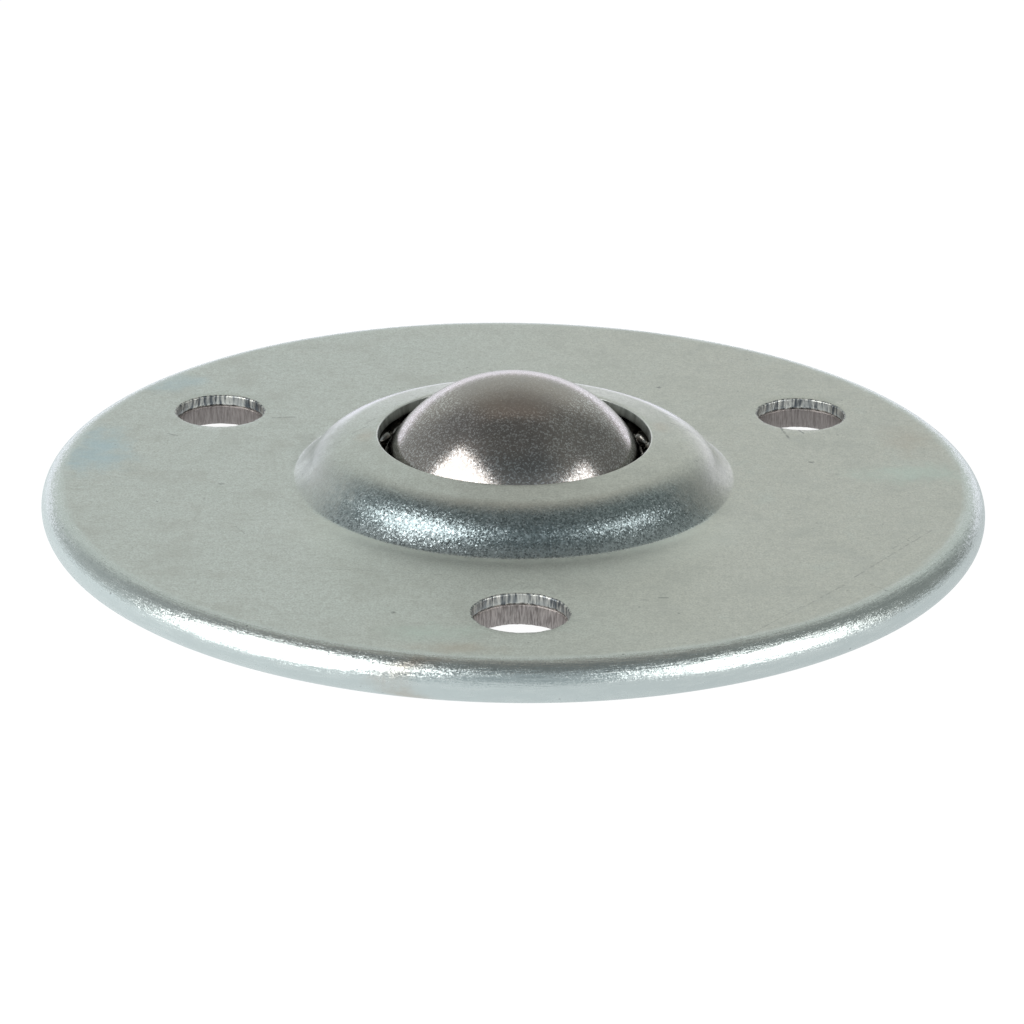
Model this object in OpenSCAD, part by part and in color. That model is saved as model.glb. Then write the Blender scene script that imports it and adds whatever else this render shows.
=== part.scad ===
// Flange-mounted ball transfer unit in pressed steel: a large ball that rolls
// any way on a bowl full of small load balls, held in by a domed cap whose rim
// is rolled round the flange of the bowl. All sizes are millimetres.
// The origin is the centre of the main ball. It lies on the plane that the
// rolled rim seats on, +Z is up through the ball, and one bolt hole is at -Y.

/* [Balls] */
// Diameter of the main ball
ball_d = 25.4; // [25:0.1:26]
// Diameter of each load ball
load_d = 2.38; // [2.3:0.02:2.46]
// Running clearance between a load ball and the surfaces it rolls on
race_clearance = 0.05; // [0.03:0.01:0.07]
// Least space between neighbouring load balls
load_spacing = 0.03; // [0.02:0.01:0.1]
// Clearance between the returning balls and the inside of the dome
return_clearance = 0.2; // [0.1:0.05:0.3]

/* [Flange] */
// Outer diameter of the rolled rim
flange_d = 82.55; // [80:0.05:86]
// Reach of the hem under the bowl plate, measured from the rim
hem_w = 4.8; // [3.6:0.1:5.2]
// Clearance between the edge of the bowl plate and the inside of the fold
fold_clearance = 0.2; // [0.1:0.05:0.5]
// Number of bolt holes
bolt_count = 3; // [3, 4, 6]
// Diameter of the circle that the bolt holes are on
bolt_pcd = 61; // [60:0.5:62]
// Diameter of a bolt hole
bolt_d = 7.9; // [6:0.1:8.5]

/* [Cap] */
// Thickness of the cap sheet
cap_t = 1; // [0.9:0.05:1.1]
// Height of the dome above the flange, at the mouth that the ball looks out of
dome_h = 3.8; // [3.5:0.05:3.9]
// Gap between the main ball and the sheet at the mouth
mouth_gap = 1.1; // [0.9:0.05:1.3]
// Fall of the dome's top, away from the mouth, in degrees
crown_angle = 8; // [6:0.5:10]
// Slope of the dome's flank, in degrees
flank_angle = 50; // [48:1:54]
// Outer radius of the dome's shoulder
shoulder_r = 6; // [5.4:0.1:6.4]
// Radius of the hollow fillet where the flank meets the flange
foot_r = 0.8; // [0.4:0.1:1.2]
// Rounding of the cut edges of the cap sheet
edge_r = 0.15; // [0.1:0.05:0.3]

/* [Bowl] */
// Thickness of the bowl plate at its flange
plate_t = 1.8; // [1.6:0.1:2]
// Wall of the drawn bowl
bowl_t = 1.2; // [1:0.05:1.4]
// Play of a load ball across the return channel, from the bore to the dome's foot
channel_play = 1.62; // [1.5:0.02:2]
// Rounding of the bowl's brim, where balls roll over into the channel
brim_r = 1.2; // [0.8:0.05:1.4]
// Radius of the hollow corner between the bowl and its flange, underneath
neck_r = 0.6; // [0.3:0.05:1]

/* [Hidden] */
$fn = 96;
TAU = 360;
EPS = 0.01;

ball_r = ball_d / 2;
load_r = load_d / 2;
flange_r = flange_d / 2;

// Heights of the sandwich at the flange: hem, bowl plate, cap sheet.
plate_z0 = cap_t;
plate_z1 = plate_z0 + plate_t;
flange_z = plate_z1 + cap_t;
fold_r = flange_z / 2;
fold_c = [flange_r - fold_r, fold_r];
plate_r = fold_c.x - fold_clearance;

// The load balls roll between the main ball and the bowl on a sphere of radius orbit_r.
orbit_r = ball_r + race_clearance + load_r;
bowl_r = orbit_r + load_r + race_clearance;
bowl_out_r = bowl_r + bowl_t;

// Brim and neck are circles that touch both the bowl and a face of the flange.
brim_c = [sqrt(pow(bowl_r + brim_r, 2) - pow(plate_z1 - brim_r, 2)), plate_z1 - brim_r];
brim_foot = brim_c * bowl_r / norm(brim_c);
neck_c = [sqrt(pow(bowl_out_r + neck_r, 2) - pow(plate_z0 - neck_r, 2)), plate_z0 - neck_r];
neck_foot = neck_c * bowl_out_r / norm(neck_c);

// Dome: a shallow cone from the mouth, a shoulder arc, a flank and a fillet.
mouth_z = flange_z + dome_h;
mouth_r = sqrt(ball_r * ball_r - pow(mouth_z - cap_t, 2)) + mouth_gap;
foot_corner = [bowl_r + load_d + channel_play, flange_z];
crown_slope = tan(crown_angle);
flank_slope = tan(flank_angle);
corner_x = (foot_corner.y - mouth_z + flank_slope * foot_corner.x - crown_slope * mouth_r)
    / (flank_slope - crown_slope);
corner = [corner_x, mouth_z - crown_slope * (corner_x - mouth_r)];
crown_n = [sin(crown_angle), cos(crown_angle)];
flank_n = [sin(flank_angle), cos(flank_angle)];
shoulder_run = shoulder_r * tan((flank_angle - crown_angle) / 2);
crown_end = corner - shoulder_run * [crown_n.y, -crown_n.x];
flank_start = corner + shoulder_run * [flank_n.y, -flank_n.x];
shoulder_c = crown_end - shoulder_r * crown_n;
foot_run = foot_r * tan(flank_angle / 2);
flank_end = foot_corner - foot_run * [flank_n.y, -flank_n.x];
foot_c = foot_corner + [foot_run, foot_r];

// The returning balls lie on the flange of the bowl, against the shoulder.
return_z = plate_z1 + race_clearance + load_r;
return_reach = shoulder_r - cap_t - return_clearance - load_r;
return_r = shoulder_c.x + sqrt(pow(return_reach, 2) - pow(return_z - shoulder_c.y, 2));
return_angle = 90 + atan(return_z / return_r);

// Rows of load balls, counted up from the bottom of the bowl. The returning
// balls lie between the two top rows, and the rest are spread evenly below.
load_step = load_d + load_spacing;
least_pitch = 2 * asin(load_step / 2 / orbit_r);
row_count = 1 + floor(return_angle / least_pitch - 1 / 2);
row_pitch = return_angle / (row_count - 1 / 2);
function row_place(k) = orbit_r * [sin(k * row_pitch), -cos(k * row_pitch)];
function balls_round(r) = floor(TAU / 2 / asin(load_step / 2 / r));

// The rows below the rim's plane have a node each, and those above share one.
BOWL_ROWS = 9;
function row_name(k) = str("load_balls_row_", k);

// What a rounded corner takes off a square one, with the corner at the origin
// and the material in the quarter x > 0, y < 0.
module corner_waste(r)
    difference() {
        translate([-EPS, -r]) square([r + EPS, r + EPS]);
        translate([r, -r]) circle(r);
    }

// Both corners of a cut edge of the cap sheet, which runs down from the origin.
module cut_edge_waste() {
    corner_waste(edge_r);
    translate([0, -cap_t]) mirror([0, 1]) corner_waste(edge_r);
}

module bolt_holes()
    for (i = [0:bolt_count - 1])
        rotate(i * TAU / bolt_count - 90)
            translate([bolt_pcd / 2, 0, -EPS])
                cylinder(d = bolt_d, h = flange_z + 2 * EPS);

// Everything that lies deeper than t inside the outer face of the cap.
module inside_cap(t)
    difference() {
        union() {
            polygon([
                [0, t], [fold_c.x, t], [fold_c.x, flange_z - t], [foot_c.x, flange_z - t],
                flank_end - t * flank_n, flank_start - t * flank_n, crown_end - t * crown_n,
                [0, mouth_z + crown_slope * mouth_r - t / cos(crown_angle)]
            ]);
            intersection() {
                translate(shoulder_c) circle(shoulder_r - t);
                polygon([shoulder_c, shoulder_c + flange_r * crown_n, shoulder_c + flange_r * flank_n]);
            }
            translate(fold_c) circle(fold_r - t);
        }
        translate(foot_c) circle(foot_r + t);
    }

// The mouth is cut square to the crown, and the hem stops short of the bowl.
module cap_openings() {
    translate([mouth_r, mouth_z]) rotate(-crown_angle) {
        translate([-flange_r, -2 * cap_t]) square([flange_r, 3 * cap_t]);
        cut_edge_waste();
    }
    translate([0, -EPS]) square([flange_r - hem_w, cap_t + EPS]);
    translate([flange_r - hem_w, cap_t]) cut_edge_waste();
}

// Cap: one sheet, domed in the middle, with its rim rolled under the bowl plate.
module top_cap()
    color([0.69, 0.71, 0.69]) difference() {
        rotate_extrude() difference() {
            inside_cap(0);
            inside_cap(cap_t);
            cap_openings();
        }
        bolt_holes();
    }

// Outline of the bowl and its flange with the inside still full.
module bowl_outside()
    difference() {
        union() {
            difference() {
                circle(bowl_out_r);
                translate([-bowl_out_r, plate_z0]) square(2 * bowl_out_r);
            }
            translate([0, neck_foot.y]) square([neck_c.x, plate_z0 - neck_foot.y]);
            translate([0, plate_z0]) square([plate_r, plate_t]);
        }
        translate(neck_c) circle(neck_r);
    }

// Bowl plate: thicker sheet, drawn down into a round bowl for the load balls.
module lower_body()
    color([0.42, 0.4, 0.37]) difference() {
        rotate_extrude() intersection() {
            translate([0, -bowl_out_r - 1]) square([flange_r, bowl_out_r + plate_z1 + 1]);
            difference() {
                bowl_outside();
                circle(bowl_r);
                difference() {
                    polygon([[0, brim_foot.y], brim_foot, brim_c, [brim_c.x, plate_z1 + 1], [0, plate_z1 + 1]]);
                    translate(brim_c) circle(brim_r);
                }
            }
        }
        bolt_holes();
    }

module main_ball()
    color([0.62, 0.6, 0.57]) sphere(ball_r);

// A ring of load balls with their centres at radius p.x and height p.y.
module ball_ring(p, stagger) {
    n = balls_round(p.x);
    for (i = [0:n - 1])
        rotate((i + stagger) * TAU / n) translate([p.x, 0, p.y]) sphere(load_r, $fn = 32);
}

module load_ball_bottom()
    color([0.75, 0.75, 0.75]) translate([0, 0, -orbit_r]) sphere(load_r, $fn = 32);

module load_balls_row(k)
    color([0.75, 0.75, 0.75]) ball_ring(row_place(k), (k % 2) / 2);

module load_balls_under_cap()
    for (k = [BOWL_ROWS + 1:row_count]) load_balls_row(k);

module return_balls()
    color([0.75, 0.75, 0.75]) ball_ring([return_r, return_z], 0);

top_cap();
lower_body();
main_ball();
load_ball_bottom();
for (k = [1:BOWL_ROWS])
    load_balls_row(k);
load_balls_under_cap();
return_balls();
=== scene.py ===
"""Looks of the flange-mounted ball transfer unit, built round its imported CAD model.

All lengths are metres. The origin is the centre of the main ball, +Z is up through
the ball, and the unit seats on z = 0 with one bolt hole at -Y.
"""
import math

import bmesh
import bpy
from mathutils import Matrix, Quaternion, Vector, noise
from mathutils.geometry import delaunay_2d_cdt


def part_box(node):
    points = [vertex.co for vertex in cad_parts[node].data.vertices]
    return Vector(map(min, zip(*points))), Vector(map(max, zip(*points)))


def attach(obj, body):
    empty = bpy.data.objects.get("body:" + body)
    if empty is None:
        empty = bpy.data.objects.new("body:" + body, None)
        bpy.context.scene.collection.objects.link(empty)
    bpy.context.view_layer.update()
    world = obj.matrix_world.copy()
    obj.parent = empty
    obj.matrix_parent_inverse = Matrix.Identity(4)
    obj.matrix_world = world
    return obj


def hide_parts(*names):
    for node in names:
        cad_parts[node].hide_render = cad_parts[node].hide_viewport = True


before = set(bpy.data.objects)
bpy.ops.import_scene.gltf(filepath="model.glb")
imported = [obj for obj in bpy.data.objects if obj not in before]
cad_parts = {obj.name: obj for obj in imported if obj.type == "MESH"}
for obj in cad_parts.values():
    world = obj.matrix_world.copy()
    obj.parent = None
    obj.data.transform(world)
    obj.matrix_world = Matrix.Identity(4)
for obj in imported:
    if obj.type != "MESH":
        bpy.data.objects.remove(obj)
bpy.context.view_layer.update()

MM = 0.001
TAU = math.tau


def deg(a):
    return math.radians(a)


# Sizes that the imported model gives.
RIM_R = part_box("top_cap")[1].x
BALL_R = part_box("main_ball")[1].x
BOWL_OUT_R = -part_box("lower_body")[0].z

# Sheet sizes.
CAP_T = 1.0 * MM
PLATE_T = 1.8 * MM
BOWL_T = 1.2 * MM
HEM_W = 4.8 * MM
FOLD_CLEARANCE = 0.2 * MM
DOME_H = 3.8 * MM
MOUTH_R = 11.95 * MM
CROWN_ANGLE = deg(8)
CROWN_RUN = 2.55 * MM
STEEPEST = deg(54)
SHOULDER_R = 4.8 * MM
FOOT_ANGLE = deg(34)
FOOT_R = 0.3 * MM
BRIM_R = 1.2 * MM
NECK_R = 0.6 * MM
CAP_EDGE_R = 0.17 * MM
PLATE_EDGE_R = 0.2 * MM
BOLT_R = 3.95 * MM
BOLT_PITCH_R = 30.5 * MM
BOLT_ANGLES = [deg(a) for a in (-90, 30, 150)]

# Heights and places that follow from them.
PLATE_Z0 = CAP_T
PLATE_Z1 = PLATE_Z0 + PLATE_T
FLANGE_Z = PLATE_Z1 + CAP_T
MOUTH_Z = FLANGE_Z + DOME_H
FOLD_R = FLANGE_Z / 2
FOLD_C = Vector((RIM_R - FOLD_R, FOLD_R))
HEM_R = RIM_R - HEM_W
PLATE_R = FOLD_C.x - FOLD_CLEARANCE
BOWL_R = BOWL_OUT_R - BOWL_T
BRIM_Z = PLATE_Z1 - BRIM_R
BRIM_C = Vector((math.sqrt((BOWL_R + BRIM_R) ** 2 - BRIM_Z ** 2), BRIM_Z))
NECK_Z = PLATE_Z0 - NECK_R
NECK_C = Vector((math.sqrt((BOWL_OUT_R + NECK_R) ** 2 - NECK_Z ** 2), NECK_Z))
MOUTH = Vector((MOUTH_R, MOUTH_Z))


def facing(slope):
    """The outward normal where the dome falls away at this angle."""
    return Vector((math.sin(slope), math.cos(slope)))


def along(normal):
    """The direction down the slope whose normal this is, away from the axis."""
    return Vector((normal.y, -normal.x))


# The dome falls from the crown through the shoulder to its steepest, and is
# drawn hollow from there to the foot, where a small fillet meets the flange.
CROWN_N = facing(CROWN_ANGLE)
CROWN_END = MOUTH + CROWN_RUN * along(CROWN_N)
SHOULDER_C = CROWN_END - SHOULDER_R * CROWN_N
SHOULDER_END = SHOULDER_C + SHOULDER_R * facing(STEEPEST)
FOOT_TOP_Z = FLANGE_Z + FOOT_R * (1 - math.cos(FOOT_ANGLE))
HOLLOW_R = (SHOULDER_END.y - FOOT_TOP_Z) / (math.cos(FOOT_ANGLE) - math.cos(STEEPEST))
HOLLOW_C = SHOULDER_END + HOLLOW_R * facing(STEEPEST)
FOOT_TOP = HOLLOW_C - HOLLOW_R * facing(FOOT_ANGLE)
FOOT_C = FOOT_TOP + FOOT_R * facing(FOOT_ANGLE)

# Fineness of the meshes.
ROUND = 440
HOLE_ROUND = 340
GROUND_ROUND = 128
ARC_STEP = 0.20 * MM
FOLD_STEP = 0.16 * MM
HIDDEN_STEP = 0.36 * MM
LINE_STEP = 0.7 * MM
FLAT_STEP = 1.0 * MM
EDGE_STEPS = 4
SHEAR_STEPS = 9
BALL_CUTS = 95
WELD = 0.5e-3 * MM
SHARP_EDGE = deg(38)

# Material slots of the two sheets.
SHEET, HOLE_WALL, MOUTH_WALL = 0, 1, 2

# Walls of the punched holes: noise cells per millimetre round and down the wall, and
# the same round the torn part at the bottom, with its depth and its least share.
WAVE_CELLS = (0.9, 0.5)
RIB_CELLS = (3.6, 0.6)
TEAR_CELLS = 3
TORN_SHARE = 0.3
TORN_MOST = 0.3 * MM
TEAR_LEAST = 0.35

# Unevenness of the pressed cap. Its rim is drawn in a little and its upper faces
# are lowered a little, so that the waves stay inside the solid's box.
OUT_OF_ROUND = 0.03 * MM
ROUND_CELLS = 0.09
WAVY_FROM = 0.93 * RIM_R
WAVY_BAND = 0.07 * RIM_R
OUT_OF_FLAT = 0.012 * MM
FLAT_CELLS = 0.16
LEVEL_BELOW = 0.2 * MM
LOWERED_ABOVE = 3 * MM
LOWERED_BY = 0.004 * MM

# Nicks in the ball.
NICKS = 26
NICK_DEPTH = 0.004 * MM
NICK_REACH = 2.5


# ---------------------------------------------------------------- sections

def turns(count):
    """Angles of equal steps all the way round."""
    return [TAU * i / count for i in range(count)]


def arc(centre, radius, start, end, step=ARC_STEP):
    """Points of an arc from one angle to another, both ends included."""
    count = max(2, math.ceil(abs(end - start) * radius / step))
    return [centre + radius * Vector((math.cos(a), math.sin(a)))
            for a in (start + (end - start) * i / count for i in range(count + 1))]


def line(start, end, step=LINE_STEP):
    """Points between two ends, neither of them included."""
    count = max(1, math.ceil((end - start).length / step))
    return [start.lerp(end, i / count) for i in range(1, count)]


def cut_edge(outer, into, normal, thickness, rounding):
    """Section of a sheet's cut edge, from its outer face to its inner face."""
    inner = outer - thickness * normal
    top = outer + rounding * (into - normal)
    low = inner + rounding * (into + normal)
    bends = [math.pi / 2 * i / EDGE_STEPS for i in range(EDGE_STEPS + 1)]
    points = [top + rounding * (math.sin(a) * -into + math.cos(a) * normal) for a in bends]
    return points + [low + rounding * (math.cos(a) * -into - math.sin(a) * normal) for a in bends]


def dome_face(t):
    """The dome's face t below its outer side, from the mouth to the foot."""
    step = HIDDEN_STEP if t else ARC_STEP
    upright, down = math.pi / 2, math.pi * 1.5
    start = MOUTH - t * CROWN_N + CAP_EDGE_R * along(CROWN_N)
    points = line(start, CROWN_END - t * CROWN_N)
    points += arc(SHOULDER_C, SHOULDER_R - t, upright - CROWN_ANGLE, upright - STEEPEST, step)
    points += arc(HOLLOW_C, HOLLOW_R + t, down - STEEPEST, down - FOOT_ANGLE, step)[1:]
    points += arc(FOOT_C, FOOT_R + t, down - FOOT_ANGLE, down, step / 2)[1:]
    return points


def rim_face(t):
    """The rolled rim's face t below its outer side, from the flange to the hem."""
    points = arc(FOLD_C, FOLD_R - t, math.pi / 2, -math.pi / 2, HIDDEN_STEP if t else FOLD_STEP)
    return points + line(points[-1], Vector((HEM_R + CAP_EDGE_R, t)))


def dome_section():
    """The dome's section, and the range of its steps that are the mouth's cut edge."""
    outer, inner = dome_face(0), dome_face(CAP_T)
    mouth = cut_edge(MOUTH, along(CROWN_N), CROWN_N, CAP_T, CAP_EDGE_R)
    first = len(outer) + EDGE_STEPS - 1
    return outer[::-1] + mouth + inner, range(first, first + EDGE_STEPS)


def rim_section():
    """The rim's section: the fold's outer side, the hem's cut edge and the inner side."""
    outer, inner = rim_face(0), rim_face(CAP_T)
    hem = cut_edge(Vector((HEM_R, 0)), Vector((1, 0)), Vector((0, -1)), CAP_T, CAP_EDGE_R)
    return outer + hem + inner[::-1]


def bowl_section():
    """The bowl from its brim down the inside and up the outside to its neck."""
    brim_turn = math.atan2(BRIM_C.y, BRIM_C.x)
    neck_turn = math.atan2(NECK_C.y, NECK_C.x)
    points = arc(BRIM_C, BRIM_R, math.pi / 2, math.pi + brim_turn)
    points += arc(Vector((0, 0)), BOWL_R, brim_turn, -math.pi / 2, LINE_STEP)[1:]
    points += arc(Vector((0, 0)), BOWL_OUT_R, -math.pi / 2, neck_turn, LINE_STEP)
    return points + arc(NECK_C, NECK_R, math.pi + neck_turn, math.pi / 2)[1:]


def plate_edge_section():
    """The bowl plate's cut edge, inside the fold."""
    corner = Vector((PLATE_R, PLATE_Z1))
    return cut_edge(corner, Vector((-1, 0)), Vector((0, 1)), PLATE_T, PLATE_EDGE_R)


# ------------------------------------------------------------------- meshes

def add_object(name, data):
    obj = bpy.data.objects.new(name, data)
    bpy.context.scene.collection.objects.link(obj)
    return obj


def add_smooth_object(name, mesh, materials):
    for m in materials:
        mesh.materials.append(m)
    mesh.polygons.foreach_set("use_smooth", [True] * len(mesh.polygons))
    return add_object(name, mesh)


class Shell:
    """A mesh in the making: vertices, faces and the material slot of each face."""

    def __init__(self, warp):
        self.verts, self.faces, self.kinds, self.warp = [], [], [], warp

    def point(self, x, y, z):
        self.verts.append(self.warp(Vector((x, y, z))))
        return len(self.verts) - 1

    def face(self, corners, kind=SHEET):
        self.faces.append(corners)
        self.kinds.append(kind)

    def rings(self, rings, kind=SHEET):
        """Joins closed rings of vertices with a grid of faces."""
        for a, b in zip(rings, rings[1:]):
            for i in range(len(a)):
                j = (i + 1) % len(a)
                self.face((a[i], a[j], b[j], b[i]), kind)

    def revolve(self, section, cut=()):
        """Turns a section round the axis; the steps in the range cut are the mouth's wall."""
        rings = [[self.point(p.x * math.cos(a), p.x * math.sin(a), p.y) for a in turns(ROUND)]
                 for p in section]
        for k in range(len(rings) - 1):
            self.rings(rings[k:k + 2], MOUTH_WALL if k in cut else SHEET)

    def object(self, name, materials):
        """The finished object, welded, with its faces turned outward."""
        mesh = bpy.data.meshes.new(name)
        mesh.from_pydata([v[:] for v in self.verts], [], self.faces)
        mesh.polygons.foreach_set("material_index", self.kinds)
        bm = bmesh.new()
        bm.from_mesh(mesh)
        bmesh.ops.remove_doubles(bm, verts=bm.verts, dist=WELD)
        bmesh.ops.dissolve_degenerate(bm, edges=bm.edges, dist=WELD)
        bmesh.ops.recalc_face_normals(bm, faces=bm.faces)
        bm.to_mesh(mesh)
        bm.free()
        obj = add_smooth_object(name, mesh, materials)
        mesh.set_sharp_from_angle(angle=SHARP_EDGE)
        return obj


def ragged(seed, angle, z, coarse, fine):
    """Unevenness of a punched wall: ribs that run down the wall, a little bent."""
    x, y = BOLT_R / MM * math.cos(angle), BOLT_R / MM * math.sin(angle)

    def layer(size, cells_round, cells_down):
        return size * noise.noise(
            Vector((x * cells_round, y * cells_round, z / MM * cells_down + seed)))

    return layer(coarse, *WAVE_CELLS) + layer(fine, *RIB_CELLS)


def flat_zone(shell, z, inner, outer, contours):
    """Triangulates a flat ring of sheet round its bolt holes."""
    points, edges = [], []

    def loop(pts):
        first = len(points)
        points.extend(pts)
        edges.extend((first + i, first + (i + 1) % len(pts)) for i in range(len(pts)))

    for radius in (inner, outer):
        loop([Vector((radius * math.cos(a), radius * math.sin(a))) for a in turns(ROUND)])
    for contour in contours:
        loop([Vector((x, y)) for x, y in contour])
    centres = [sum((Vector(p) for p in c), Vector((0, 0))) / len(c) for c in contours]
    reaches = [max((Vector(p) - m).length for p in c) for c, m in zip(contours, centres)]
    rows = int((outer - inner) / FLAT_STEP)
    for k in range(1, rows):
        radius = inner + (outer - inner) * k / rows
        count = int(TAU * radius / FLAT_STEP)
        for i in range(count):
            a = TAU * (i + 0.5 * (k % 2)) / count
            p = Vector((radius * math.cos(a), radius * math.sin(a)))
            if all((p - m).length > r + 0.4 * FLAT_STEP for m, r in zip(centres, reaches)):
                points.append(p)
    flat, _, tris, *_ = delaunay_2d_cdt(points, edges, [], 0, 1e-9)
    ids = [shell.point(p.x, p.y, z) for p in flat]
    least = inner * math.cos(math.pi / ROUND)
    for tri in tris:
        c = sum((flat[i] for i in tri), Vector((0, 0))) / 3
        if least < c.length < outer and not in_hole(c, contours, centres, reaches):
            shell.face([ids[i] for i in tri])


def in_hole(p, contours, centres, reaches):
    """Whether a point lies inside one of the hole outlines."""
    for contour, m, reach in zip(contours, centres, reaches):
        if (p - m).length < reach:
            turn = math.atan2(p.y - m.y, p.x - m.x) % TAU
            i = int(turn / TAU * len(contour)) % len(contour)
            a, b = Vector(contour[i]), Vector(contour[(i + 1) % len(contour)])
            if (b - a).cross(p - a) > 0:
                return True
    return False


def punched_wall(shell, k, z_top, z_low, roll, breakout, coarse, fine):
    """One bolt hole's wall: rolled-over top edge, ribbed shear, torn lower edge.

    Returns the outlines that it leaves in the top and bottom faces."""
    angle = BOLT_ANGLES[k]
    centre = BOLT_PITCH_R * Vector((math.cos(angle), math.sin(angle)))
    depth = z_top - z_low
    torn = min(TORN_SHARE * depth, TORN_MOST)
    tear_at = TEAR_CELLS * BOLT_R / MM
    wall_seed, tear_seed = 7.3 * k + 3.1, 5.0 * k

    def spread(a, t):
        """Radius added at depth t below the top face."""
        out = ragged(wall_seed, a, -t, coarse, fine)
        if t < roll:
            out += roll * (1 - math.sqrt(1 - (1 - t / roll) ** 2))
        if t > depth - torn:
            place = Vector((tear_at * math.cos(a), tear_at * math.sin(a), tear_seed))
            tear = 0.5 + 0.5 * noise.noise(place)
            out += breakout * (TEAR_LEAST + tear) * ((t - depth + torn) / torn) ** 2
        return out

    def outline(t):
        """The wall's outline at depth t."""
        radii = [(a, BOLT_R + spread(a, t)) for a in turns(HOLE_ROUND)]
        return [(centre.x + r * math.cos(a), centre.y + r * math.sin(a)) for a, r in radii]

    depths = [roll * (1 - math.cos(math.pi / 2 * i / EDGE_STEPS)) for i in range(EDGE_STEPS + 1)]
    depths += [roll + (depth - roll) * i / SHEAR_STEPS for i in range(1, SHEAR_STEPS + 1)]
    rings = [[shell.point(x, y, z_top - t) for x, y in outline(t)] for t in depths]
    shell.rings(rings, HOLE_WALL)
    return outline(0), outline(depth)


def part_way(value, start, span):
    """How far value has come from start through span, between 0 and 1."""
    return max(0.0, min(1.0, (value - start) / span))


def pressing_warp(p):
    """Small unevenness of pressed sheet: a flange a few hundredths out of flat and of round."""
    r = math.hypot(p.x, p.y)
    if r < 1e-6:
        return p
    q = p / MM
    wave = OUT_OF_ROUND * noise.noise(Vector((q.x * ROUND_CELLS, q.y * ROUND_CELLS, 4.0)))
    pull = part_way(r, WAVY_FROM, WAVY_BAND) * (wave - OUT_OF_ROUND) / r
    lift = OUT_OF_FLAT * noise.noise(Vector((q.x * FLAT_CELLS, q.y * FLAT_CELLS, 9.0)))
    lift *= part_way(p.z, LEVEL_BELOW, MM)
    lowered = LOWERED_BY * (p.z > LOWERED_ABOVE)
    return Vector((p.x * (1 + pull), p.y * (1 + pull), p.z + lift - lowered))


def make_cap(materials):
    """The cap: dome, flange and rolled rim of one sheet, with three punched holes."""
    shell = Shell(pressing_warp)
    shell.revolve(*dome_section())
    shell.revolve(rim_section())
    tops, lows = zip(*(punched_wall(
        shell, k, FLANGE_Z, PLATE_Z1, roll=0.16 * MM, breakout=0.16 * MM,
        coarse=0.07 * MM, fine=0.04 * MM) for k in range(len(BOLT_ANGLES))))
    flat_zone(shell, FLANGE_Z, FOOT_C.x, FOLD_C.x, tops)
    flat_zone(shell, PLATE_Z1, FOOT_C.x, FOLD_C.x, lows)
    return shell.object("zinc_plated_cap", materials)


def make_bowl_plate(materials):
    """The bowl and its flange, with the same three holes."""
    shell = Shell(lambda p: p)
    shell.revolve(bowl_section())
    shell.revolve(plate_edge_section())
    tops, lows = zip(*(punched_wall(
        shell, k, PLATE_Z1, PLATE_Z0, roll=0.14 * MM, breakout=0.1 * MM,
        coarse=0.05 * MM, fine=0.035 * MM) for k in range(len(BOLT_ANGLES))))
    flat_zone(shell, PLATE_Z1, BRIM_C.x, PLATE_R - PLATE_EDGE_R, tops)
    flat_zone(shell, PLATE_Z0, NECK_C.x, PLATE_R - PLATE_EDGE_R, lows)
    return shell.object("bowl_plate", materials)


def ball_nicks():
    """Where the ball is nicked, as directions from its centre, and how wide each nick is."""
    nicks = []
    for i in range(NICKS):
        way = Vector((noise.noise(Vector((i * 7.1, 1.7, 0.3))),
                      noise.noise(Vector((2.9, i * 5.3, 0.7))),
                      noise.noise(Vector((0.9, 3.3, i * 6.7)))))
        if way.length > 1e-3:
            nicks.append((way.normalized(), (0.10 + 0.12 * (i * 37 % 10) / 10) * MM))
    return nicks


def make_ball(materials):
    """The main ball: a fine sphere, with a few shallow nicks from use."""
    nicks = ball_nicks()
    bm = bmesh.new()
    bmesh.ops.create_cube(bm, size=2)
    bmesh.ops.subdivide_edges(bm, edges=bm.edges, cuts=BALL_CUTS, use_grid_fill=True)
    for v in bm.verts:
        way = Vector([math.tan(c * math.pi / 4) for c in v.co]).normalized()
        r = BALL_R
        for centre, width in nicks:
            off = (way - centre).length * BALL_R / width
            if off < NICK_REACH:
                r -= NICK_DEPTH * math.exp(-off * off)
        v.co = way * r
    mesh = bpy.data.meshes.new("main_ball_steel")
    bm.to_mesh(mesh)
    bm.free()
    return add_smooth_object("main_ball_steel", mesh, materials)


# ---------------------------------------------------------------- materials

def rgb(r, g, b):
    return (r, g, b, 1.0)


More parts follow.
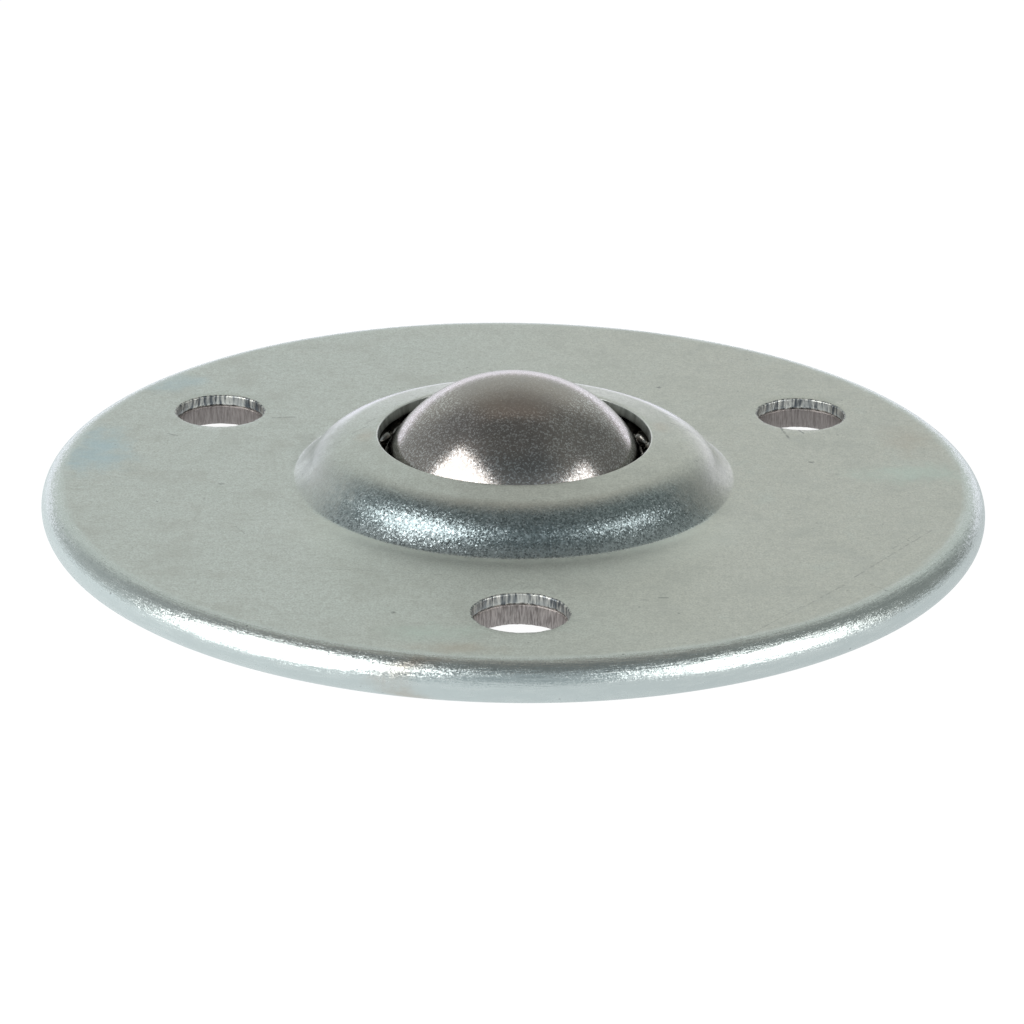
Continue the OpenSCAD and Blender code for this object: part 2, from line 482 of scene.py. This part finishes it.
class Nodes:
    """Short calls for building a node tree."""

    def __init__(self, tree):
        self.tree = tree
        tree.nodes.clear()

    def add(self, kind, values=None, out=0, **props):
        """Adds a node; out is the number or the name of the output to return."""
        node = self.tree.nodes.new(kind)
        for key, value in props.items():
            setattr(node, key, value)
        for key, value in (values or {}).items():
            if isinstance(value, bpy.types.NodeSocket):
                self.tree.links.new(value, node.inputs[key])
            else:
                node.inputs[key].default_value = value
        return node.outputs[out]

    def math(self, op, a, b=0.0, clamp=False):
        return self.add("ShaderNodeMath", {0: a, 1: b}, operation=op, use_clamp=clamp)

    def times(self, first, *others):
        """The product of two or more values."""
        for other in others:
            first = self.math("MULTIPLY", first, other)
        return first

    def plus(self, a, b, share=None):
        """a and b added up, b multiplied by share first."""
        return self.math("ADD", a, b if share is None else self.times(b, share))

    def vec(self, op, a, b=(0, 0, 0), out=0):
        return self.add("ShaderNodeVectorMath", {0: a, 1: b}, out, operation=op)

    def stretched(self, vector, x, y, z):
        return self.vec("MULTIPLY", vector, (x, y, z))

    def axes(self, vector):
        """The vector's x, y and z."""
        return self.add("ShaderNodeSeparateXYZ", {0: vector}).node.outputs[:]

    def noise(self, vector, scale, detail=2.0, rough=0.5, warp=0.0):
        return self.add("ShaderNodeTexNoise", {"Vector": vector, "Scale": scale, "Detail": detail,
                                               "Roughness": rough, "Distortion": warp})

    def cells(self, vector, scale, out="Color"):
        """Small cells, each with a random colour of its own."""
        values = {"Vector": vector, "Scale": scale, "Randomness": 1.0}
        return self.add("ShaderNodeTexVoronoi", values, out)

    def step(self, value, low, high, to_low=0.0, to_high=1.0, kind="SMOOTHSTEP"):
        return self.add("ShaderNodeMapRange", {0: value, 1: low, 2: high, 3: to_low, 4: to_high},
                        interpolation_type=kind)

    def ramp(self, value, low, high, to_low=0.0, to_high=1.0):
        return self.step(value, low, high, to_low, to_high, "LINEAR")

    def mix(self, factor, a, b):
        """Colour a, or b where factor is 1."""
        return self.add("ShaderNodeMix", {0: factor, 6: a, 7: b}, 2, data_type="RGBA")

    def bump(self, height, distance, normal=None, strength=1.0):
        values = {"Height": height, "Distance": distance, "Strength": strength}
        if normal is not None:
            values["Normal"] = normal
        return self.add("ShaderNodeBump", values)

    def facets(self, place, scale, tilt, normal):
        """Leans the normal a little its own way on each of many small grains."""
        lean = self.vec("SUBTRACT", self.cells(place, scale), (0.5, 0.5, 0.5))
        lean = self.add("ShaderNodeVectorMath", {0: lean, "Scale": tilt}, operation="SCALE")
        return self.vec("NORMALIZE", self.vec("ADD", lean, normal))

    def output(self, shader, kind="ShaderNodeOutputMaterial"):
        self.tree.links.new(shader, self.tree.nodes.new(kind).inputs["Surface"])

    def metal(self, colour, rough, normal):
        self.output(self.add("ShaderNodeBsdfPrincipled", {
            "Base Color": colour, "Metallic": 1.0, "Roughness": rough, "Normal": normal}))

    def millimetres(self):
        """The place on the object, in millimetres."""
        place = self.add("ShaderNodeTexCoord", out="Object")
        return self.stretched(place, 1 / MM, 1 / MM, 1 / MM)


def new_material(name):
    material = bpy.data.materials.new(name)
    material.use_nodes = True
    return material, Nodes(material.node_tree)


# Marks of handling on the cap, in millimetres: from x, y to x, y, then half width and strength.
MARKS = [
    (24.2, 12.4, 24.9, 9.0, 0.13, 0.9), (25.3, 12.2, 26.3, 10.4, 0.10, 0.9),
    (-21.6, 13.5, -19.6, 13.8, 0.12, 0.6), (35.4, -12.4, 27.8, -22.8, 0.09, 0.45),
    (34.6, -12.4, 31.6, -16.6, 0.07, 0.4), (27.0, -24.2, 22.5, -29.8, 0.10, 0.4),
    (22.9, -29.0, 18.5, -34.4, 0.07, 0.3), (-30.8, 9.4, -30.0, 8.9, 0.13, 0.6),
    (-23.8, -12.4, -22.7, -14.6, 0.08, 0.4), (-16.4, -21.4, -5.8, -22.8, 0.06, 0.35),
    (11.4, -27.3, 12.1, -27.3, 0.12, 0.7), (9.7, -27.8, 10.5, -27.8, 0.10, 0.5),
    (27.8, 0.4, 28.5, 0.4, 0.12, 0.5), (29.0, -24.3, 30.2, -25.6, 0.14, 0.4),
    (26.4, 3.3, 26.4, 3.3, 0.30, 0.9), (-10.3, -30.6, -10.3, -30.6, 0.24, 0.9),
    (-25.5, -2.7, -25.5, -2.7, 0.26, 0.8), (13.8, 22.0, 13.8, 22.0, 0.30, 0.8),
    (12.9, 6.6, 15.4, 5.1, 0.11, 0.55), (13.3, 5.4, 15.9, 4.0, 0.09, 0.5),
    (13.8, 3.7, 16.3, 2.4, 0.11, 0.45), (-13.1, 2.7, -12.2, 3.8, 0.10, 0.5),
    (-14.2, 0.6, -12.8, 2.1, 0.08, 0.4)]
# Stains in the plating, and a patch of painted shade on the dome's left side, in millimetres:
# centre, half sizes, then strength.
BLUE_STAINS = [(-36.9, 5.0, 3.6, 7.0, 0.75), (-31.2, 22.4, 4.0, 3.0, 0.5)]
GREEN_STAINS = [(34.8, 0.7, 6.0, 3.0, 0.6), (-7.0, -34.6, 5.0, 2.2, 0.5)]
BROWN_STAINS = [(-5.0, -37.6, 4.5, 1.4, 0.5), (35.6, 8.8, 3.4, 4.4, 0.4),
                (-9.2, -39.6, 3.4, 0.7, 0.7), (-13.0, -0.4, 1.1, 2.0, 0.4),
                (12.9, 2.2, 0.9, 1.8, 0.35)]
PAINTED_SHADE_PATCHES = [(-17.4, 2.5, 2.6, 8.5, 0.8)]


def any_mark(n, flat):
    """How strongly a place is marked: each mark is a line from one point to another."""
    total = None
    for x0, y0, x1, y1, width, strength in MARKS:
        run = (x1 - x0, y1 - y0, 0)
        off = n.vec("SUBTRACT", flat, (x0, y0, 0))
        length = max(run[0] ** 2 + run[1] ** 2, 1e-6)
        share = n.math("DIVIDE", n.vec("DOT_PRODUCT", off, run, out=1), length, clamp=True)
        along_run = n.add("ShaderNodeVectorMath", {0: run, "Scale": share}, operation="SCALE")
        gap = n.vec("LENGTH", n.vec("SUBTRACT", off, along_run), out=1)
        mark = n.step(gap, 0.2 * width, 1.3 * width, strength, 0)
        total = mark if total is None else n.math("MAXIMUM", total, mark)
    return total


def stained(n, flat, tint, stains, colour, edge):
    """Tints soft patches whose edges wander with the noise given."""
    for x, y, wide, deep, strength in stains:
        off = n.stretched(n.vec("SUBTRACT", flat, (x, y, 0)), 1 / wide, 1 / deep, 0)
        reach = n.plus(n.vec("LENGTH", off, out=1), edge)
        tint = n.mix(n.step(reach, -0.1, 1.2, strength, 0), tint, colour)
    return tint


def plating_tint(n, place, x, fine, grain):
    """The plating's own colour: clouds, streaks and grain, warmer towards +X."""
    broad = n.noise(n.vec("ADD", place, (13, 4, 0)), 0.06, 3, 0.55, 0.6)
    cloud = n.noise(n.vec("ADD", place, (31, 7, 0)), 0.24, 4, 0.62)
    streak = n.noise(n.stretched(place, 0.13, 1.7, 1), 1.0, 4, 0.7)
    warm = n.step(n.plus(x, broad, 30), -8, 40)
    tint = n.mix(warm, rgb(0.72, 0.765, 0.735), rgb(0.70, 0.70, 0.64))
    tint = n.mix(n.step(cloud, 0.44, 0.74, 0, 0.65), tint, rgb(0.57, 0.585, 0.545))
    tint = n.mix(n.step(cloud, 0.46, 0.26, 0, 0.45), tint, rgb(0.66, 0.71, 0.67))
    tint = n.mix(n.step(fine, 0.40, 0.75, 0, 0.50), tint, rgb(0.54, 0.555, 0.515))
    tint = n.mix(n.step(streak, 0.52, 0.76, 0, 0.30), tint, rgb(0.76, 0.76, 0.72))
    tint = n.mix(n.step(streak, 0.44, 0.26, 0, 0.34), tint, rgb(0.50, 0.52, 0.485))
    return n.mix(n.step(grain, 0.36, 0.66, 0, 0.62), tint, rgb(0.48, 0.495, 0.46))


def painted_flank_shade_tint(n, place, radius):
    """Painted shade on the dome's flank: dark and bluish, darkest at mid-height and lighter again
    near the foot, with painted glints and dark specks on small grains.
    """
    # Painted shade, set by the radius from the axis.
    deep = n.mix(n.step(radius, 16.4, 17.6), rgb(0.35, 0.425, 0.435), rgb(0.275, 0.335, 0.345))
    deep = n.mix(n.step(radius, 18.0, 19.0), deep, rgb(0.50, 0.57, 0.58))
    # Painted glints and dark specks on cells of about 0.125 mm.
    painted_glint_cell = n.axes(n.cells(place, 8.0))[0]
    deep = n.mix(n.step(painted_glint_cell, 0.60, 1.0, 0, 0.7), deep, rgb(0.66, 0.74, 0.76))
    return n.mix(n.step(painted_glint_cell, 0.50, 0.0, 0, 0.7), deep, rgb(0.10, 0.125, 0.135))


def darkening(n, place, flat):
    """How dark handling marks and specks are at a place."""
    specks = n.cells(place, 0.55, "Distance")
    speck = n.times(n.step(specks, 0.03, 0.08, 0.7, 0), n.step(n.noise(place, 0.4, 1), 0.50, 0.58))
    worn = n.step(n.noise(place, 1.5, 3, 0.7), 0.36, 0.56, 0.15, 1)
    return n.math("MAXIMUM", n.times(any_mark(n, flat), worn), speck)


def zinc_material():
    """Bright zinc plating with its passivation tints, grain, handling marks and specks.

    The masks go by the radius from the axis and by y: painted shade darkens the flank at the front
    (-Y) only, a painted highlight brightens its crest at the back only, and painted light
    brightens the flange round the dome's foot at the front."""
    material, n = new_material("zinc_plating")
    place = n.millimetres()
    flat = n.stretched(place, 1, 1, 0)
    radius = n.vec("LENGTH", flat, out=1)
    x, y, z = n.axes(place)
    fine = n.noise(place, 1.6, 4, 0.7)
    grain = n.noise(place, 6.0, 2, 0.7)
    across = n.add("ShaderNodeCombineXYZ", {2: n.times(n.math("SUBTRACT", radius, z), 2.8)})
    rings = n.noise(n.vec("ADD", n.stretched(place, 0.36, 0.36, 0), across), 1.0, 4, 0.7)
    edge = n.times(n.math("SUBTRACT", n.noise(place, 0.45, 4, 0.65), 0.5), 1.8)

    ragged_r = n.plus(radius, fine, 0.8)
    # Painted shade: the flank is darkened at its front (-Y) only, with a ragged edge.
    painted_flank_shade = n.times(n.step(ragged_r, 15.3, 17.0), n.step(ragged_r, 19.6, 20.0, 1, 0),
                    n.step(n.plus(y, fine, 5), -4, -10))
    # Painted highlight: a pale lavender band on the dome's crest, at the back (+Y) only.
    painted_crest_highlight = n.times(n.step(ragged_r, 14.9, 16.1), n.step(radius, 18.9, 19.4, 1, 0),
                    n.step(y, 2, 9))
    # Painted light: the flange just outside the dome's foot is lightened at the front (-Y), where
    # it mirrors the dark flank.
    ring = n.plus(n.step(radius, 19.5, 20.9, 0.55, 0), n.step(radius, 20.2, 26, 0.26, 0))
    ring = n.times(ring, n.step(radius, 19.25, 19.40), n.step(y, -8, -16))
    fold = n.step(n.plus(radius, rings, 1.4), 39.6, 40.6)
    # Painted highlight: a thin bright line along the mouth's edge.
    mouth = MOUTH_R / MM
    painted_mouth_highlight = n.step(radius, mouth + 0.06, mouth + 0.16, 0.7, 0)

    tint = plating_tint(n, place, x, fine, grain)
    tint = stained(n, flat, tint, BLUE_STAINS, rgb(0.495, 0.65, 0.72), edge)
    tint = stained(n, flat, tint, GREEN_STAINS, rgb(0.61, 0.72, 0.66), edge)
    tint = n.mix(n.times(painted_flank_shade, 0.92), tint, painted_flank_shade_tint(n, place, radius))
    # Painted highlight on the crest.
    tint = n.mix(n.times(painted_crest_highlight, 0.7), tint, rgb(0.88, 0.88, 0.94))
    # Painted shade on the dome's left side.
    tint = stained(n, flat, tint, PAINTED_SHADE_PATCHES, rgb(0.42, 0.45, 0.425), edge)
    # Painted light round the foot at the front.
    tint = n.mix(ring, tint, rgb(0.92, 0.96, 0.90))
    tint = n.mix(painted_mouth_highlight, tint, rgb(0.95, 0.96, 0.92))
    tint = n.mix(n.times(fold, 0.85), tint, rgb(0.715, 0.77, 0.755))
    tint = n.mix(n.times(fold, n.step(rings, 0.40, 0.66, 0.4, 0)), tint, rgb(0.59, 0.65, 0.64))
    tint = stained(n, flat, tint, BROWN_STAINS, rgb(0.56, 0.49, 0.41), edge)
    tint = n.mix(n.times(darkening(n, place, flat), 0.8), tint, rgb(0.17, 0.18, 0.18))

    rough = n.plus(n.ramp(fine, 0.3, 0.7, 0.31, 0.39), painted_crest_highlight, -0.10)
    rough = n.plus(rough, painted_flank_shade, -0.07)
    rough = n.plus(rough, fold, n.ramp(rings, 0.3, 0.7, -0.16, -0.06))
    # The heights stay simple: Cycles copies what feeds a bump, and a long shader turns black.
    normal = n.bump(n.plus(fine, grain, 0.5), 0.0028 * MM)
    normal = n.bump(rings, 0.045 * MM, normal, fold)
    tilt = n.plus(n.plus(n.times(painted_flank_shade, 0.16), fold, 0.07), 0.08)
    n.metal(tint, rough, n.facets(place, 10.0, tilt, normal))
    return material


def sheared_material(name, light, dark, tinge, ribs, rough, painted_shade_towards_back=0.0):
    """A cut wall: ribs of light and dark metal down it; where asked, painted shade darkens it
    towards +Y.
    """
    material, n = new_material(name)
    place = n.millimetres()
    rib = n.noise(n.stretched(place, 1, 1, 0.12), ribs, 3, 0.6)
    patch = n.noise(place, 0.8, 2)
    colour = n.mix(n.step(rib, 0.36, 0.62), dark, light)
    colour = n.mix(n.step(patch, 0.48, 0.7, 0, 0.6), colour, tinge)
    # Painted shade: the walls of the holes at the back are darkened.
    if painted_shade_towards_back:
        colour = n.mix(n.step(n.axes(place)[1], -20, 8, 0, painted_shade_towards_back), colour, dark)
    n.metal(colour, n.ramp(rib, 0.3, 0.7, rough, rough + 0.12), n.bump(rib, 0.05 * MM))
    return material


def plate_material():
    """The bowl plate: plain steel, a little brown, with draw marks and oil stains."""
    material, n = new_material("bowl_steel")
    place = n.millimetres()
    cloud = n.noise(place, 0.18, 4, 0.6, 0.4)
    fine = n.noise(place, 2.2, 4, 0.6)
    draw = n.noise(n.stretched(place, 1.6, 1.6, 0.15), 1.4, 3, 0.6)
    colour = n.mix(n.step(cloud, 0.38, 0.68), rgb(0.42, 0.40, 0.37), rgb(0.33, 0.315, 0.29))
    colour = n.mix(n.step(fine, 0.45, 0.7, 0, 0.4), colour, rgb(0.27, 0.26, 0.24))
    n.metal(colour, n.ramp(fine, 0.3, 0.7, 0.36, 0.48), n.bump(n.plus(draw, fine), 0.012 * MM))
    return material


def ball_material():
    """The main ball: hard dark steel, faintly warm, with painted glints and dark specks that fade
    out towards its top.
    """
    material, n = new_material("ground_ball_steel")
    place = n.millimetres()
    cloud = n.noise(place, 0.35, 3, 0.6)
    grain = n.noise(place, 5.0, 3, 0.7)
    nick = n.step(n.cells(place, 0.9, "Distance"), 0.05, 0.09, 1, 0)
    nick = n.times(nick, n.step(n.noise(place, 0.5, 1), 0.5, 0.6), 0.5)
    # Painted glints and dark specks on small grains: full below z = 11 mm, faded to a fifth above
    # 12 mm.
    painted_glint_cell = n.axes(n.cells(place, 9.0))[0]
    low = n.step(n.axes(place)[2], 12.0, 11.0, 0.2, 1)
    light, dark = n.step(painted_glint_cell, 0.55, 1.0), n.step(painted_glint_cell, 0.45, 0.0, 0, 0.30)
    colour = n.mix(n.step(cloud, 0.4, 0.65), rgb(0.38, 0.345, 0.32), rgb(0.36, 0.332, 0.315))
    colour = n.mix(n.times(light, low), colour, rgb(0.68, 0.67, 0.66))
    colour = n.mix(n.times(dark, low), colour, rgb(0.22, 0.21, 0.20))
    colour = n.mix(nick, colour, rgb(0.60, 0.56, 0.50))
    n.metal(colour, n.ramp(grain, 0.3, 0.7, 0.155, 0.195),
            n.facets(place, 10.0, 0.05, n.bump(grain, 0.004 * MM)))
    return material


def load_ball_material():
    """Load balls: bright bearing steel with a thin film of grease."""
    material, n = new_material("load_ball_steel")
    place = n.millimetres()
    film = n.noise(place, 0.8, 3, 0.6)
    grain = n.noise(place, 9.0, 2, 0.5)
    colour = n.mix(n.step(film, 0.42, 0.66), rgb(0.42, 0.405, 0.38), rgb(0.32, 0.305, 0.275))
    n.metal(colour, n.ramp(film, 0.3, 0.7, 0.10, 0.22), n.bump(grain, 0.001 * MM))
    return material


# -------------------------------------------------------------------- stage

GROUND_Z = -0.05 * MM
GROUND_RADII = [18 * MM, 0.06, 0.12, 0.3, 0.8, 3.0]


def ground_material():
    """White ground with a faint shadow, seen from above only. What the unit mirrors of
    it is darker towards +X, and bright at the back."""
    material, n = new_material("stage_white")
    place = n.add("ShaderNodeTexCoord", out="Object")
    x, y, _ = n.axes(place)
    white = n.mix(n.noise(place, 3.0, 1), rgb(0.93, 0.93, 0.93), rgb(0.95, 0.95, 0.95))
    mirrored = n.mix(n.step(x, -0.10, 0.02), rgb(1.00, 1.07, 1.10), rgb(0.70, 0.74, 0.76))
    mirrored = n.mix(n.step(y, 0.02, 0.10), mirrored, rgb(1.08, 1.08, 1.16))
    ray = n.add("ShaderNodeLightPath").node.outputs
    colour = n.mix(ray["Is Camera Ray"], mirrored, rgb(1.08, 1.08, 1.08))
    seen = n.math("MAXIMUM", ray["Is Camera Ray"], ray["Is Glossy Ray"])
    diffuse = n.add("ShaderNodeBsdfDiffuse", {"Color": white})
    glow = n.add("ShaderNodeEmission", {"Color": colour, "Strength": 1.0})
    lit = n.add("ShaderNodeMixShader", {0: n.times(seen, 0.9), 1: diffuse, 2: glow})
    clear = n.add("ShaderNodeBsdfTransparent")
    below = n.add("ShaderNodeNewGeometry", out="Backfacing")
    n.output(n.add("ShaderNodeMixShader", {0: below, 1: lit, 2: clear}))
    return material


def make_ground():
    """Ground with a round opening for the bowl, as in the table the unit is let into."""
    verts = [(r * math.cos(a), r * math.sin(a), GROUND_Z)
             for r in GROUND_RADII for a in turns(GROUND_ROUND)]
    faces = []
    for k in range(len(GROUND_RADII) - 1):
        inner, outer = k * GROUND_ROUND, (k + 1) * GROUND_ROUND
        for i in range(GROUND_ROUND):
            j = (i + 1) % GROUND_ROUND
            faces.append((inner + i, outer + i, outer + j, inner + j))
    mesh = bpy.data.meshes.new("ground")
    mesh.from_pydata(verts, [], faces)
    mesh.materials.append(ground_material())
    obj = add_object("ground", mesh)


def make_world():
    """White behind the object; for light and reflections a plain photographer's room.

    Heights are degrees above the horizon and turns are degrees from +Y, the back."""
    world = bpy.data.worlds.new("studio")
    bpy.context.scene.world = world
    world.use_nodes = True
    n = Nodes(world.node_tree)
    x, y, z = n.axes(n.add("ShaderNodeTexCoord", out="Generated"))
    height = n.times(n.math("ARCSINE", z), 180 / math.pi)
    turn = n.math("ABSOLUTE", n.times(n.math("ARCTAN2", x, y), 180 / math.pi))
    back = n.mix(n.step(height, 25, 64), rgb(0.66, 0.70, 0.67), rgb(0.32, 0.31, 0.285))
    front = n.mix(n.step(height, 33, 60), rgb(0.38, 0.425, 0.445), rgb(0.145, 0.168, 0.176))
    side = n.mix(n.step(height, 10, 60), rgb(0.46, 0.49, 0.49), rgb(0.26, 0.27, 0.27))
    side = n.mix(n.step(x, 0.1, 0.5), side, rgb(0.25, 0.268, 0.26))
    ceiling = n.mix(n.step(y, 0.19, 0.37), rgb(0.18, 0.19, 0.188), rgb(0.41, 0.375, 0.34))
    room = n.mix(n.step(turn, 22, 50), back, side)
    room = n.mix(n.step(turn, 100, 150), room, front)
    room = n.mix(n.step(height, 55, 78), room, ceiling)
    behind = n.step(turn, 28, 46, 1, 0)
    room = n.mix(n.times(behind, n.step(height, 4, 13, 1, 0)), room, rgb(1.08, 1.08, 1.16))
    room = n.mix(n.times(behind, n.step(height, 2, 6, 1, 0)), room, rgb(1.6, 1.6, 1.75))
    room = n.mix(n.step(height, -6, -1, 1, 0), room, rgb(0.88, 0.90, 0.90))
    colour = n.mix(n.add("ShaderNodeLightPath", out="Is Camera Ray"), room, rgb(1, 1, 1))
    n.output(n.add("ShaderNodeBackground", {"Color": colour, "Strength": 1.0}),
             "ShaderNodeOutputWorld")


def softbox(name, turn, height, width, tall, radiance, roll, distance=0.6):
    """A soft rectangular lamp that faces the object, turn degrees round from +Y towards
    +X and height degrees up, rolled about its own axis by roll degrees."""
    way = Vector((math.sin(deg(turn)) * math.cos(deg(height)),
                  math.cos(deg(turn)) * math.cos(deg(height)), math.sin(deg(height))))
    lamp = bpy.data.lights.new(name, "AREA")
    lamp.shape, lamp.size, lamp.size_y = "RECTANGLE", width, tall
    lamp.energy = radiance * math.pi * width * tall
    obj = add_object(name, lamp)
    obj.location = distance * way
    rolled = Quaternion((0, 0, 1), deg(roll))
    obj.rotation_euler = ((-way).to_track_quat("-Z", "Y") @ rolled).to_euler()
    obj.visible_camera = False


# The picture's camera, found by fitting the rim and the holes. The unit stands turned
# a little in the picture, and here the camera goes round it instead.
CAMERA_PLACE = Vector((0, -0.343865, 0.139743))
CAMERA_TURN, CAMERA_PITCH, CAMERA_ROLL = deg(0.0188), deg(22.087), deg(0.795)
UNIT_TURN = deg(-1.32)
SENSOR_WIDTH, FOCAL_LENGTH = 36.0, 148.29


def make_camera():
    """The camera of the picture: 22 degrees above the horizon, level to within a degree."""
    heading = Matrix.Rotation(CAMERA_TURN, 3, "Z")
    ahead = heading @ Matrix.Rotation(-CAMERA_PITCH, 3, "X") @ Vector((0, 1, 0))
    right = heading @ Vector((1, 0, 0))
    up = right.cross(ahead)
    cos, sin = math.cos(CAMERA_ROLL), math.sin(CAMERA_ROLL)
    right, up = cos * right + sin * up, cos * up - sin * right
    unit_turn = Matrix.Rotation(UNIT_TURN, 3, "Z")
    axes = unit_turn @ Matrix((right, up, -ahead)).transposed()
    camera = bpy.data.cameras.new("camera")
    camera.sensor_width, camera.lens = SENSOR_WIDTH, FOCAL_LENGTH
    camera.clip_start = 0.01
    obj = add_object("camera", camera)
    obj.matrix_world = Matrix.Translation(unit_turn @ CAMERA_PLACE) @ axes.to_4x4()
    bpy.context.scene.camera = obj


# ----------------------------------------------------------------- assembly

def place_piece(obj, body, slot, *nodes):
    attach(obj, body)
    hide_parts(*nodes)


def corners(box):
    return [[float(c) for c in corner] for corner in box]


make_camera()
make_world()
softbox("softbox_left", -122.5, 26.5, width=0.57, tall=0.61, radiance=3.0, roll=-14)
softbox("softbox_right", 122.5, 19, width=0.57, tall=0.42, radiance=2.25, roll=12)
make_ground()

zinc = zinc_material()
cap_wall = sheared_material(
    "sheared_zinc_edge", light=rgb(0.74, 0.74, 0.69), dark=rgb(0.12, 0.135, 0.15),
    tinge=rgb(0.40, 0.42, 0.42), ribs=4.2, rough=0.36)
plate_wall = sheared_material(
    "sheared_plate_edge", light=rgb(0.52, 0.47, 0.45), dark=rgb(0.25, 0.22, 0.21),
    tinge=rgb(0.36, 0.33, 0.31), ribs=7.0, rough=0.42, painted_shade_towards_back=0.5)
mouth_wall = sheared_material(
    "plated_mouth_edge", light=rgb(0.50, 0.53, 0.50), dark=rgb(0.31, 0.33, 0.31),
    tinge=rgb(0.40, 0.42, 0.40), ribs=1.3, rough=0.42)
place_piece(make_cap([zinc, cap_wall, mouth_wall]), "housing", "zinc_plated_cap", "top_cap")
place_piece(make_bowl_plate([plate_material(), plate_wall]), "housing", "bowl_plate", "lower_body")
place_piece(make_ball([ball_material()]), "ball", "main_ball", "main_ball")

bright = load_ball_material()
for name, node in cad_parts.items():
    if name.startswith(("load_ball", "return_balls")):
        node.data.materials.clear()
        node.data.materials.append(bright)
        node.data.polygons.foreach_set("use_smooth", [True] * len(node.data.polygons))

bpy.context.scene.view_settings.view_transform = "Standard"
